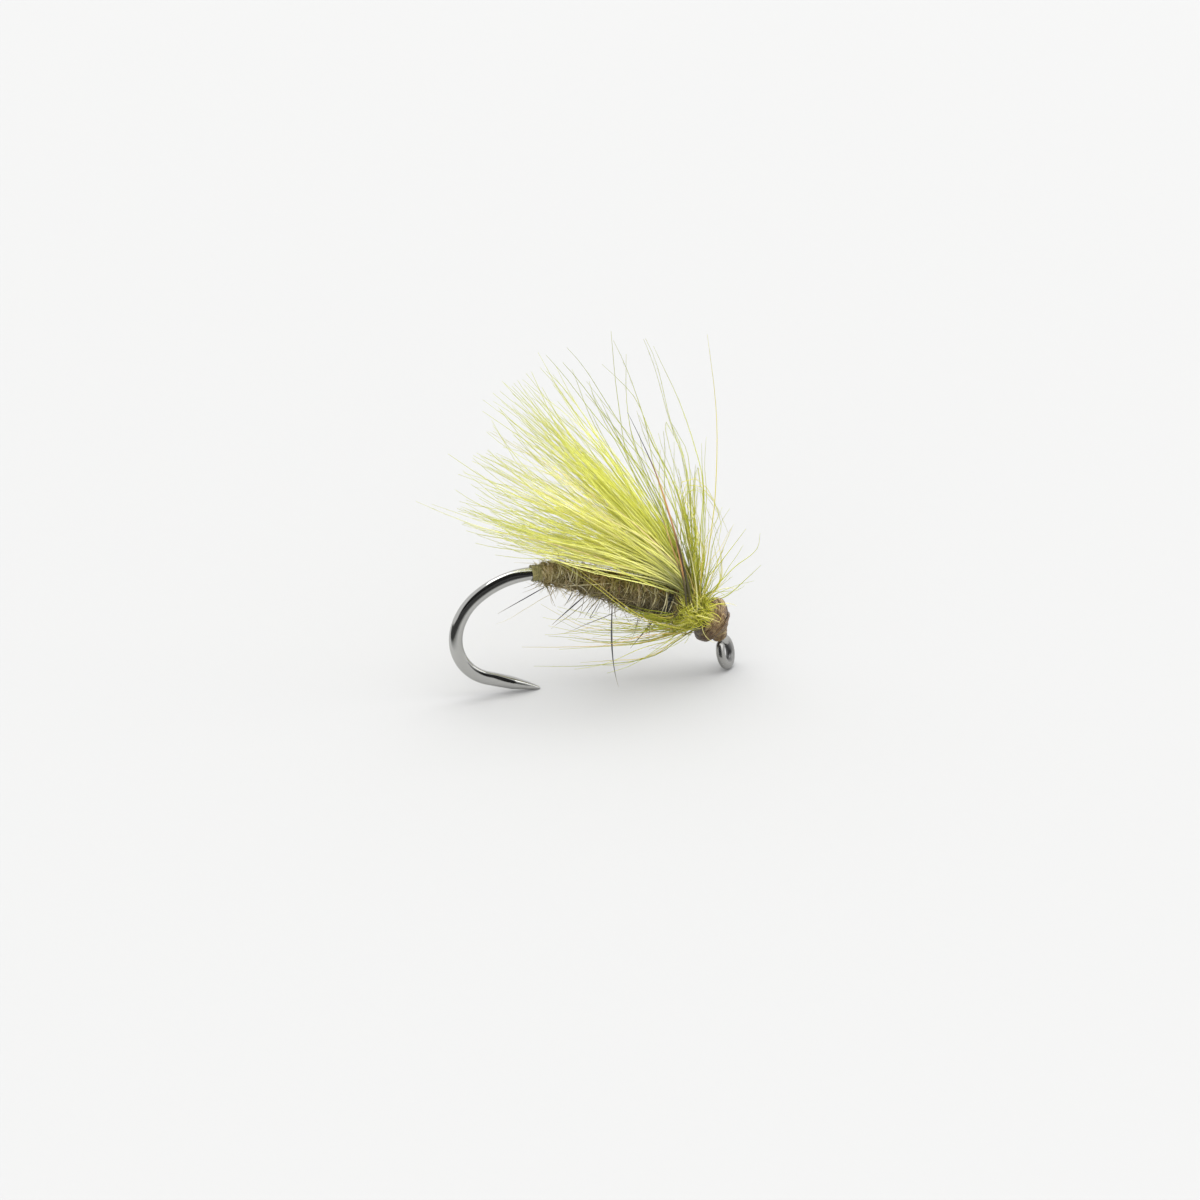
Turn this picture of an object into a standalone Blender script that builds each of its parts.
# Dry fly tied on a barbless down-eye hook, standing on the hook's spear and eye.
#
# Frame: metres, +Z up. +X runs from the bend towards the hook's eye, the hook lies in the XZ
# plane (Y = 0), and the origin is on the ground under the middle of the fly.
# Dimensions are in millimetres and angles in degrees. A heading is measured in the XZ plane
# from +X towards +Z, and a splay is the lean from that plane towards +Y.

import math
from itertools import accumulate

import bmesh
import bpy
from mathutils import Vector

MM = 0.001
Y = Vector((0, 1, 0))

# ---------------------------------------------------------------- driving dimensions
# Hook wire. Its centre line runs from the head end of the shank to the point as tangent arcs
# and a straight spear; distances along it start at SHANK_START and grow towards the point.
SHANK_START = (4.70, 2.246)     # X, Z
SHANK_HEADING = 153.4           # towards the bend
ARCS = ((49.0, 7.8), (3.58, 58.0), (2.30, 40.5), (1.875, 82.5))   # radius, turn
ARC_STEPS = (5, 8, 6, 11)       # wire sections along each arc
SPEAR_LEN = 2.24
SPEAR_STEPS = 8
POINT_TAPER = 1.20              # length over which the spear narrows to the point
POINT_R = 0.018                 # radius at the very tip
WIRE_R = 0.250
WIRE_SIDES = 12
FORGED_HALF = 0.185             # half thickness between the flats on the bend
FORGED_GROW = 1.10              # widening of the flattened wire in the hook's plane
FORGED_INSET = 0.90             # round wire left past the first arc and behind the point
FORGED_FADE = 1.20              # length over which the flats grow in or fade out
ROUND_SLACK = 0.02              # how far the flats' limit clears wire that stays round

# Neck and eye
NECK_BACK = 0.20                # where the neck starts to turn down, along the centre line
NECK_R = 0.80
NECK_TURN = 45.0
NECK_STEPS = 5
NECK_END_R = WIRE_R * 0.86      # the wire thins along the neck
EYE_REACH = 1.26                # neck end to the centre of the eye
EYE_R = 0.49                    # radius of the eye's wire centre line
EYE_HALF_RADIAL = 0.205         # half thickness of the eye's wire, in the ring's plane
EYE_HALF_NORMAL = 0.160         # half thickness of the eye's wire, along the ring's axis
EYE_TWIST = 34.0                # turn of the ring about its own long axis
EYE_LEAD = ((0.28, 0.0), (0.55, 0.02))   # wire before the loop: past the neck's end, sideways
EYE_ARC = (146.0, -147.0)       # start and end of the loop, from the direction of the neck's end
EYE_STEPS = 22
EYE_BLEND = 3.0                 # sections over which the wire takes the eye's thickness
EYE_CUT_END = (0.93, 0.72)      # shrink of the last two sections, rounding the cut end

# Windings: start and end along the centre line
FOUNDATION = (0.10, 7.40)
FOUNDATION_IN, FOUNDATION_OUT = 0.268, 0.312    # radii
ROPE = (0.37, 0.97)
ROPE_TURNS = 4
LASHING = (1.00, 1.26)
ABDOMEN = (1.30, 7.45)
ABDOMEN_TURNS = 11
REAR_WRAPS = (7.48, 7.84)
CLEAR = 0.015                   # clearance between a winding and what it lies on
WOUND_SIDES = 12

# Head
HEAD_BACK = 0.34                # where the head starts, along the centre line
HEAD_FRONT = 0.34               # how far past the neck's end the head reaches
HEAD_SIDES = 14
HEAD_STEPS = 17
HEAD_END_R = 0.46               # radius at the back
HEAD_SWELL = 0.36               # how much the middle swells
HEAD_CLOSE_R = 0.335            # radius at the front
HEAD_RIPPLE = 0.022             # thread ridges, alternating from section to section
HEAD_BOW = (0.13, 0.10)         # X, Z bow of the head's middle off its straight centre line
HEAD_BORE_R = WIRE_R + 0.012
HEAD_BORE_STEPS = 9
HEAD_COUNTERBORE = (0.165, 0.165, 0.06)  # extra bore radius at the rearmost sections
BUTTS = ((-0.015, 0.375), (0.07, 0.385), (0.135, 0.355))  # share of head length, radius
BUTTS_CLEAR = 0.010
WHIP = (0.36, 0.50)             # start and end past the neck's end
WHIP_R = 0.265
WHIP_RISE = 0.035
WHIP_TURNS = 2
WHIP_STEPS = 8
VARNISH_SPAN = (0.34, 0.93)     # share of head length, from the back
VARNISH_IN, VARNISH_OUT = 0.034, 0.086   # above the head's mean radius
VARNISH_STEPS = 8

# Feather tie-in points, X, Z
WING_PIVOT = (3.94, 3.045)
HACKLE_UP_PIVOT = (4.12, 2.845)
HACKLE_DOWN_PIVOT = (3.90, 1.985)

WING_LIFT = 0.17                # the wing feathers' roots above the pivot
WING_STEPS = 9
WING_THICK = (0.075, 0.085)     # widest and root half thickness
HACKLE_THICK = (0.065, 0.075)

# Wing feathers: name, heading at root and tip, length, Y at the root, splay at root and tip,
# widest half width
WING = (
    ("wing_feather_1", 136.0, 168.0, 12.4, -0.39, -3.0, -9.0, 0.80),
    ("wing_feather_2", 132.0, 153.0, 12.9, 0.13, 1.0, 5.0, 0.95),
    ("wing_feather_3", 121.0, 141.0, 12.8, -0.13, -1.0, -4.0, 1.05),
    ("wing_feather_4", 109.0, 130.0, 12.6, 0.39, 3.0, 9.0, 0.90),
)

# Guard hairs: name, distance along the centre line, angle round it from the outside of the
# bend, heading at root and tip, length, splay at the root, root radius
HAIRS = (
    ("guard_hair_1", 4.25, 168.0, 268.0, 273.0, 2.75, -22.0, 0.050),
    ("guard_hair_2", 5.25, 184.0, 216.0, 213.0, 1.95, -7.0, 0.042),
    ("guard_hair_3", 6.85, 182.0, 204.0, 200.0, 2.55, -5.0, 0.036),
    ("guard_hair_4", 2.15, 172.0, 222.0, 218.0, 1.70, -14.0, 0.036),
    ("guard_hair_5", 5.85, 196.0, 248.0, 236.0, 0.95, 8.0, 0.034),
    ("guard_hair_6", 3.55, 20.0, 112.0, 128.0, 1.15, 16.0, 0.030),
)
HAIR_SUNK = 0.12                # depth of a hair's root under the dubbing
HAIR_SPLAY_GROW = 1.2           # splay at the tip over splay at the root
HAIR_TIP_R = 0.012
HAIR_STEPS = 7

# ---------------------------------------------------------------- scene and parents
for ob in list(bpy.data.objects):
    bpy.data.objects.remove(ob, do_unlink=True)

assembly = bpy.data.objects.new("dry_fly", None)
bpy.context.scene.collection.objects.link(assembly)


def pivot(name, x, z):
    """A parent at a flexing root, so its children turn about that point."""
    ob = bpy.data.objects.new(name, None)
    bpy.context.scene.collection.objects.link(ob)
    ob.location = (x * MM, 0.0, z * MM)
    ob.parent = assembly
    return ob


wing_root = pivot("wing_root", *WING_PIVOT)
hackle_up_root = pivot("hackle_up_root", *HACKLE_UP_PIVOT)
hackle_down_root = pivot("hackle_down_root", *HACKLE_DOWN_PIVOT)


# ---------------------------------------------------------------- materials
def material(name, rgb, rough, metal=0.0, coat=0.0):
    mat = bpy.data.materials.new(name)
    mat.use_nodes = True
    inputs = mat.node_tree.nodes["Principled BSDF"].inputs
    inputs["Base Color"].default_value = (*rgb, 1.0)
    inputs["Roughness"].default_value = rough
    inputs["Metallic"].default_value = metal
    inputs["Coat Weight"].default_value = coat
    return mat


BLACK_NICKEL = material("black_nickel_wire", rgb=(0.055, 0.055, 0.060), rough=0.18, metal=1.0)
OLIVE_THREAD = material("olive_thread", rgb=(0.10, 0.11, 0.04), rough=0.45)
BROWN_THREAD = material("brown_thread", rgb=(0.17, 0.085, 0.050), rough=0.38)
FUR = material("hare_dubbing", rgb=(0.20, 0.165, 0.095), rough=0.9)
GUARD = material("guard_hair", rgb=(0.030, 0.032, 0.038), rough=0.35)
FEATHER = material("cdc_olive", rgb=(0.50, 0.52, 0.11), rough=0.8)
FEATHER_DARK = material("cdc_stalk", rgb=(0.060, 0.045, 0.035), rough=0.5)
HACKLE = material("cdc_hackle", rgb=(0.56, 0.60, 0.13), rough=0.8)
VARNISH = material("head_varnish", rgb=(0.22, 0.12, 0.07), rough=0.08, coat=0.6)


# ---------------------------------------------------------------- mesh helpers
def add(name, bm, mat, parent=assembly):
    """Turn a bmesh given in millimetres, in the assembly's frame, into a named object."""
    bmesh.ops.recalc_face_normals(bm, faces=bm.faces[:])
    if bm.calc_volume(signed=True) < 0:
        bmesh.ops.reverse_faces(bm, faces=bm.faces[:])
    mesh = bpy.data.meshes.new(name)
    bm.to_mesh(mesh)
    bm.free()
    for vert in mesh.vertices:
        vert.co = vert.co * MM - parent.location
    mesh.materials.append(mat)
    mesh.shade_smooth()
    mesh.set_sharp_from_angle(angle=math.radians(40))
    ob = bpy.data.objects.new(name, mesh)
    bpy.context.scene.collection.objects.link(ob)
    ob.parent = parent


def skin(bm, sections):
    """Bands of quads through a list of point rings; returns the first and last vertex ring."""
    rings = [[bm.verts.new(p) for p in points] for points in sections]
    for near, far in zip(rings, rings[1:]):
        band(bm, near, far)
    return rings[0], rings[-1]


def band(bm, near, far):
    count = len(near)
    for i in range(count):
        j = (i + 1) % count
        bm.faces.new((near[i], near[j], far[j], far[i]))


def cap(bm, ring):
    """Close a ring with a fan to its middle."""
    middle = bm.verts.new(sum((v.co for v in ring), Vector((0, 0, 0))) / len(ring))
    for i in range(len(ring)):
        bm.faces.new((ring[i], ring[(i + 1) % len(ring)], middle))


def loft(sections):
    """A closed solid through a list of sections, fan-capped at both ends."""
    bm = bmesh.new()
    for end in skin(bm, sections):
        cap(bm, end)
    return bm


def sleeve(outer, inner):
    """A closed sleeve: an outer and an inner skin joined at both ends."""
    bm = bmesh.new()
    outer_ends = skin(bm, outer)
    inner_ends = skin(bm, inner)
    for outer_end, inner_end in zip(outer_ends, inner_ends):
        band(bm, outer_end, inner_end)
    return bm


def smoothstep(t):
    t = min(1.0, max(0.0, t))
    return t * t * (3 - 2 * t)


def mix(a, b, t):
    return a + (b - a) * t


def heading_vector(angle):
    return Vector((math.cos(angle), 0, math.sin(angle)))


def quarter_turn(direction):
    """The in-plane normal: the direction turned 90 degrees from +X towards +Z."""
    return Vector((-direction.z, 0, direction.x))


def ellipse(centre, u_axis, v_axis, u_radius, v_radius, count, start=0.5, step=1):
    """Points round an ellipse; start and step are in shares of the point spacing."""
    points = []
    for k in range(count):
        a = 2 * math.pi * (step * k + start) / count
        points.append(centre + u_axis * (u_radius * math.cos(a)) + v_axis * (v_radius * math.sin(a)))
    return points


def circle(centre, direction, radius, count):
    """Points round a circle across a direction that lies in the hook's plane."""
    return ellipse(centre, quarter_turn(direction), Y, radius, radius, count)


# ---------------------------------------------------------------- the hook's centre line
ARC_ENDS = list(accumulate(radius * math.radians(turn) for radius, turn in ARCS))
HOOK_LEN = ARC_ENDS[-1] + SPEAR_LEN


def walk(distance):
    """Point and unit direction at a distance from SHANK_START towards the point."""
    x, z = SHANK_START
    heading = math.radians(SHANK_HEADING)
    left = distance
    for radius, turn in ARCS:
        angle = min(math.radians(turn), left / radius)
        x += radius * (math.sin(heading + angle) - math.sin(heading))
        z -= radius * (math.cos(heading + angle) - math.cos(heading))
        heading += angle
        left -= radius * angle
        if left <= 1e-9:
            return Vector((x, 0, z)), heading_vector(heading)
    end = Vector((x + math.cos(heading) * left, 0, z + math.sin(heading) * left))
    return end, heading_vector(heading)


neck_start, towards_bend = walk(NECK_BACK)
neck_heading = math.atan2(-towards_bend.z, -towards_bend.x)   # towards the eye


def neck(t):
    """Point and direction on the neck, from the shank (0) to its end by the eye (1)."""
    heading = neck_heading - math.radians(NECK_TURN) * t
    x = neck_start.x - NECK_R * (math.sin(heading) - math.sin(neck_heading))
    z = neck_start.z + NECK_R * (math.cos(heading) - math.cos(neck_heading))
    return Vector((x, 0, z)), heading_vector(heading)


neck_end, eye_dir = neck(1.0)


# ---------------------------------------------------------------- hook
def wire_sections():
    """From the point along spear, bend and shank to the start of the neck."""
    stations = [HOOK_LEN - SPEAR_LEN * (k / SPEAR_STEPS) ** 1.3 for k in range(SPEAR_STEPS + 1)]
    starts = [NECK_BACK] + ARC_ENDS[:-1]
    for low, high, steps in reversed(list(zip(starts, ARC_ENDS, ARC_STEPS))):
        stations += [high - (high - low) * k / steps for k in range(1, steps + 1)]

    sections = []
    for s in stations:
        centre, direction = walk(s)
        from_tip = HOOK_LEN - s
        taper = min(1.0, from_tip / POINT_TAPER) ** 0.55
        radius = max(POINT_R, WIRE_R * taper)
        forged = (smoothstep((s - (ARC_ENDS[0] + FORGED_INSET)) / FORGED_FADE)
                  * smoothstep((from_tip - FORGED_INSET) / FORGED_FADE))
        half = mix(radius + ROUND_SLACK, FORGED_HALF, forged)
        points = ellipse(centre, quarter_turn(direction), Y,
                         radius * mix(1.0, FORGED_GROW, forged), radius, WIRE_SIDES)
        for point in points:
            point.y = max(-half, min(half, point.y))
        sections.append(points)
    return sections


def neck_sections():
    sections = []
    for k in range(1, NECK_STEPS + 1):
        centre, direction = neck(k / NECK_STEPS)
        radius = mix(WIRE_R, NECK_END_R, k / NECK_STEPS)
        sections.append(circle(centre, -direction, radius, WIRE_SIDES))
    return sections


def eye_sections(previous):
    """The eye's loop: out to one side, round the bottom, back up towards the neck."""
    twist = math.radians(EYE_TWIST)
    eye_centre = neck_end + eye_dir * EYE_REACH
    eye_side = Y * math.cos(twist) + quarter_turn(eye_dir) * math.sin(twist)
    eye_axis = eye_dir.cross(eye_side).normalized()

    path = [neck_end + eye_dir * ahead + eye_side * aside for ahead, aside in EYE_LEAD]
    for k in range(EYE_STEPS + 1):
        a = math.radians(mix(*EYE_ARC, k / EYE_STEPS))
        path.append(eye_centre + eye_dir * (EYE_R * math.cos(a)) + eye_side * (EYE_R * math.sin(a)))

    shrink = [1.0] * (len(path) - len(EYE_CUT_END)) + list(EYE_CUT_END)
    sections = []
    for k, centre in enumerate(path):
        before = path[k - 1] if k else neck_end
        after = path[min(len(path) - 1, k + 1)]
        direction = (after - before).normalized()
        normal = (eye_axis - direction * eye_axis.dot(direction)).normalized()
        radial = normal.cross(direction).normalized()
        blend = smoothstep((k - 1) / EYE_BLEND)
        half_radial = mix(NECK_END_R, EYE_HALF_RADIAL, blend) * shrink[k]
        half_normal = mix(NECK_END_R, EYE_HALF_NORMAL, blend) * shrink[k]
        # take the point order that best follows the previous section, so the skin doesn't twist
        orders = [ellipse(centre, normal, radial, half_normal, half_radial, WIRE_SIDES,
                          start=shift + 0.5, step=step)
                  for step in (1, -1) for shift in range(WIRE_SIDES)]
        previous = min(orders, key=lambda order: sum(
            (p - q).length_squared for p, q in zip(order, previous)))
        sections.append(previous)
    return sections


def build_hook():
    sections = wire_sections() + neck_sections()
    sections += eye_sections(sections[-1])
    add("hook", loft(sections), BLACK_NICKEL)


# ---------------------------------------------------------------- windings on the shank
def wound(name, span, radius_at, inner_radius, steps, inner_steps, mat):
    """A sleeve on the shank; radius_at takes the share of its length and the angle round it."""
    outer = []
    for k in range(steps + 1):
        t = k / steps
        centre, direction = walk(mix(*span, t))
        normal = quarter_turn(direction)
        points = []
        for j in range(WOUND_SIDES):
            a = 2 * math.pi * (j + 0.5) / WOUND_SIDES
            r = radius_at(t, a)
            points.append(centre + normal * (r * math.cos(a)) + Y * (r * math.sin(a)))
        outer.append(points)
    inner = [circle(*walk(mix(*span, k / inner_steps)), inner_radius, WOUND_SIDES)
             for k in range(inner_steps + 1)]
    add(name, sleeve(outer, inner), mat)


def ridges(base, rise, turns):
    """The outside of a close helical winding of round strand."""
    return lambda t, a: base + rise * abs(math.sin(math.pi * turns * t + a / 2))


def abdomen_radius(t, a):
    """The dubbing's outside: full at the thorax, slim at the bend, with a soft helical ridge."""
    mean = mix(0.70, 0.40, t ** 1.25)
    mean *= 1.0 - 0.30 * smoothstep((0.11 - t) / 0.11)      # rounded off at the thorax end
    return mean + 0.045 * math.cos(2 * math.pi * ABDOMEN_TURNS * t + a)


def rope_radius(t, a):
    """The twisted feather loop wound as the thorax."""
    return 0.47 + 0.10 * math.sin(math.pi * t) + 0.05 * math.cos(2 * math.pi * ROPE_TURNS * t + a)


def build_windings():
    on_foundation = FOUNDATION_OUT + CLEAR
    wound("thread_foundation", FOUNDATION, lambda t, a: FOUNDATION_OUT, FOUNDATION_IN,
          steps=11, inner_steps=11, mat=OLIVE_THREAD)
    # behind the foundation's end, so these strands lie on the bare wire
    wound("rear_thread_wraps", REAR_WRAPS, ridges(base=0.305, rise=0.05, turns=4),
          WIRE_R + CLEAR, steps=16, inner_steps=2, mat=OLIVE_THREAD)
    wound("abdomen_dubbing", ABDOMEN, abdomen_radius, on_foundation,
          steps=36, inner_steps=11, mat=FUR)
    wound("wing_lashing", LASHING, ridges(base=0.375, rise=0.05, turns=3), on_foundation,
          steps=12, inner_steps=2, mat=OLIVE_THREAD)
    wound("hackle_rope", ROPE, rope_radius, on_foundation,
          steps=18, inner_steps=2, mat=HACKLE)


# ---------------------------------------------------------------- head, built round the neck
head_start, head_start_dir = walk(HEAD_BACK)
head_start_dir = -head_start_dir                     # towards the eye
head_end = neck_end + eye_dir * HEAD_FRONT


def head_frame(t):
    """Centre and direction of the head's section, from its back (0) to its front (1)."""
    start_heading = math.atan2(head_start_dir.z, head_start_dir.x)
    end_heading = math.atan2(eye_dir.z, eye_dir.x)
    # most of the turn comes in the front half
    turn = 0.18 * smoothstep(t / 0.6) + 0.82 * smoothstep((t - 0.45) / 0.55)
    bow = math.sin(math.pi * t)
    centre = head_start.lerp(head_end, t) + Vector((bow * HEAD_BOW[0], 0, bow * HEAD_BOW[1]))
    return centre, heading_vector(mix(start_heading, end_heading, turn))


def head_radius(t):
    """Mean radius: a swell over the first four fifths, closing down towards the front."""
    body = HEAD_END_R
    if t < 0.8:
        body += HEAD_SWELL * math.sin(math.pi * (t * 1.25) ** 0.9) ** 0.8
    return mix(body, HEAD_CLOSE_R, smoothstep((t - 0.55) / 0.45))


def wire_frame(share):
    """Centre and direction of the wire inside the head, from its back (0) to its front (1)."""
    shank = HEAD_BACK - NECK_BACK
    arc = NECK_R * math.radians(NECK_TURN)
    distance = share * (shank + arc + HEAD_FRONT)
    if distance < shank:
        centre, direction = walk(HEAD_BACK - distance)
        return centre, -direction
    if distance < shank + arc:
        return neck((distance - shank) / arc)
    return neck_end + eye_dir * (distance - shank - arc), eye_dir


def build_head_wraps():
    outer = []
    for k in range(HEAD_STEPS + 1):
        t = k / HEAD_STEPS
        radius = head_radius(t) + HEAD_RIPPLE * math.cos(k * math.pi)
        outer.append(circle(*head_frame(t), radius, HEAD_SIDES))
    inner = []
    for k in range(HEAD_BORE_STEPS + 1):
        extra = HEAD_COUNTERBORE[k] if k < len(HEAD_COUNTERBORE) else 0.0
        inner.append(circle(*wire_frame(k / HEAD_BORE_STEPS), HEAD_BORE_R + extra, HEAD_SIDES))
    add("head_wraps", sleeve(outer, inner), BROWN_THREAD)


def build_wing_butts():
    """Trimmed feather butts: a short collar on the foundation under the head's back."""
    outer = [circle(*wire_frame(share), radius, WOUND_SIDES) for share, radius in BUTTS]
    inner = [circle(*wire_frame(share), FOUNDATION_OUT + BUTTS_CLEAR, WOUND_SIDES)
             for share in (BUTTS[0][0], BUTTS[-1][0])]
    add("wing_butts", sleeve(outer, inner), FEATHER)


def build_whip_finish():
    def section(t, radius):
        return circle(neck_end + eye_dir * mix(*WHIP, t), -eye_dir, radius, WOUND_SIDES)

    outer = []
    for k in range(WHIP_STEPS + 1):
        t = k / WHIP_STEPS
        outer.append(section(t, WHIP_R + WHIP_RISE * abs(math.sin(math.pi * t * WHIP_TURNS))))
    inner = [section(t, NECK_END_R + CLEAR) for t in (0, 1)]
    add("whip_finish", sleeve(outer, inner), BROWN_THREAD)


def build_varnish():
    """A thin clear coat over the middle and front of the head."""
    stations = [mix(*VARNISH_SPAN, k / VARNISH_STEPS) for k in range(VARNISH_STEPS + 1)]
    outer, inner = [[circle(*head_frame(t), head_radius(t) + lift, HEAD_SIDES) for t in stations]
                    for lift in (VARNISH_OUT, VARNISH_IN)]
    add("head_varnish", sleeve(outer, inner), VARNISH)


# ---------------------------------------------------------------- feathers, stalk and hairs
def spine(start, headings, length, splays, steps):
    """Points and directions along a bent quill; headings and splays are (root, tip)."""
    point = Vector(start)
    stations = []
    for k in range(steps):
        t = (k + 0.5) / steps
        heading = math.radians(mix(*headings, t))
        splay = math.radians(mix(*splays, t))
        direction = Vector((math.cos(heading) * math.cos(splay), math.sin(splay),
                            math.sin(heading) * math.cos(splay)))
        if k == 0:
            stations.append((point, direction))
        point = point + direction * (length / steps)
        stations.append((point, direction))
    return stations


def quill_axes(direction):
    """Width axis, in the hook's plane, and thickness axis of a quill."""
    side = direction.cross(Y).normalized()
    return side, side.cross(direction).normalized()


def blade(name, stations, half_width, half_thick, mat, parent):
    """A flat, pointed vane: lens sections along a quill, thin across the hook's plane."""
    lens = ((1, 0), (0.55, 1), (-0.55, 1), (-1, 0), (-0.55, -1), (0.55, -1))  # width, thickness
    sections = []
    for k, (point, direction) in enumerate(stations):
        t = k / (len(stations) - 1)
        side, thin = quill_axes(direction)
        w, h = half_width(t), half_thick(t)
        sections.append([point + side * (w * a) + thin * (h * b) for a, b in lens])
    add(name, loft(sections), mat, parent)


def vane_width(most, peak=0.62, root=0.10, tip=0.12):
    """Half width along a vane, widest at the share called peak."""
    def width(t):
        if t < peak:
            return mix(root, most, smoothstep(t / peak))
        return mix(most, tip, smoothstep((t - peak) / (1 - peak)) ** 1.2)
    return width


def vane_thick(most, root, tip=0.03):
    """Half thickness along a vane."""
    def thickness(t):
        if t < 0.5:
            return mix(root, most, smoothstep(t / 0.3))
        return mix(most, tip, (t - 0.5) / 0.5)
    return thickness


def stalk(name, stations, root_radius, tip_radius, mat, parent=assembly):
    """A tapering hair or stalk of six-sided section."""
    sections = []
    for k, (point, direction) in enumerate(stations):
        r = mix(root_radius, tip_radius, (k / (len(stations) - 1)) ** 1.3)
        sections.append(ellipse(point, *quill_axes(direction), r, r, 6, start=0))
    add(name, loft(sections), mat, parent)


def build_wing():
    """Four feathers side by side over the thorax, swept back over the body, and a bare stalk."""
    x, z = WING_PIVOT
    for name, head0, head1, length, y, splay0, splay1, width in WING:
        stations = spine((x, y, z + WING_LIFT), (head0, head1), length, (splay0, splay1),
                         WING_STEPS)
        blade(name, stations, vane_width(width), vane_thick(*WING_THICK), FEATHER, wing_root)
    stations = spine((x - 0.12, -0.58, z + 0.12), headings=(95.0, 122.0), length=8.9,
                     splays=(-2.0, -2.0), steps=10)
    stalk("wing_stalk", stations, root_radius=0.062, tip_radius=0.018, mat=FEATHER_DARK,
          parent=wing_root)


def hackle(name, stations, width, parent):
    blade(name, stations, width, vane_thick(*HACKLE_THICK), HACKLE, parent)


def build_hackles():
    """An upper and an under vane at -Y (left) and +Y (right), and one in front on the middle."""
    up_x, up_z = HACKLE_UP_PIVOT
    down_x, down_z = HACKLE_DOWN_PIVOT
    for tag, sign in (("left", -1.0), ("right", 1.0)):
        upper = spine((up_x + 0.10, 0.42 * sign, up_z + 0.12), headings=(62.0, 46.0),
                      length=3.3, splays=(16.0 * sign, 30.0 * sign), steps=6)
        hackle("hackle_upper_" + tag, upper,
               vane_width(0.46, peak=0.6, root=0.12, tip=0.06), hackle_up_root)
        under = spine((down_x, 0.40 * sign, down_z - 0.02), headings=(192.0, 178.0),
                      length=5.6, splays=(10.0 * sign, 6.0 * sign), steps=7)
        hackle("hackle_under_" + tag, under,
               vane_width(0.42, peak=0.5, root=0.12, tip=0.05), hackle_down_root)
    front = spine((up_x + 0.26, 0.0, up_z + 0.22), headings=(44.0, 36.0), length=3.2,
                  splays=(0.0, -2.0), steps=6)
    hackle("hackle_front", front, vane_width(0.30, peak=0.5, root=0.10, tip=0.05),
           hackle_up_root)


def build_guard_hairs():
    """Stiff guard hairs left in the dubbing."""
    for name, s, round_deg, head0, head1, length, splay, radius in HAIRS:
        centre, direction = walk(s)
        outward = -quarter_turn(direction)           # away from the bend's inside
        angle = math.radians(round_deg)
        share = (s - ABDOMEN[0]) / (ABDOMEN[1] - ABDOMEN[0])
        depth = abdomen_radius(share, 0.0) - HAIR_SUNK
        root = centre + outward * (depth * math.cos(angle)) + Y * (-depth * math.sin(angle))
        stations = spine(root, (head0, head1), length, (splay, splay * HAIR_SPLAY_GROW),
                         HAIR_STEPS)
        stalk(name, stations, radius, HAIR_TIP_R, GUARD)


build_hook()
build_windings()
build_head_wraps()
build_wing_butts()
build_whip_finish()
build_varnish()
build_wing()
build_hackles()
build_guard_hairs()
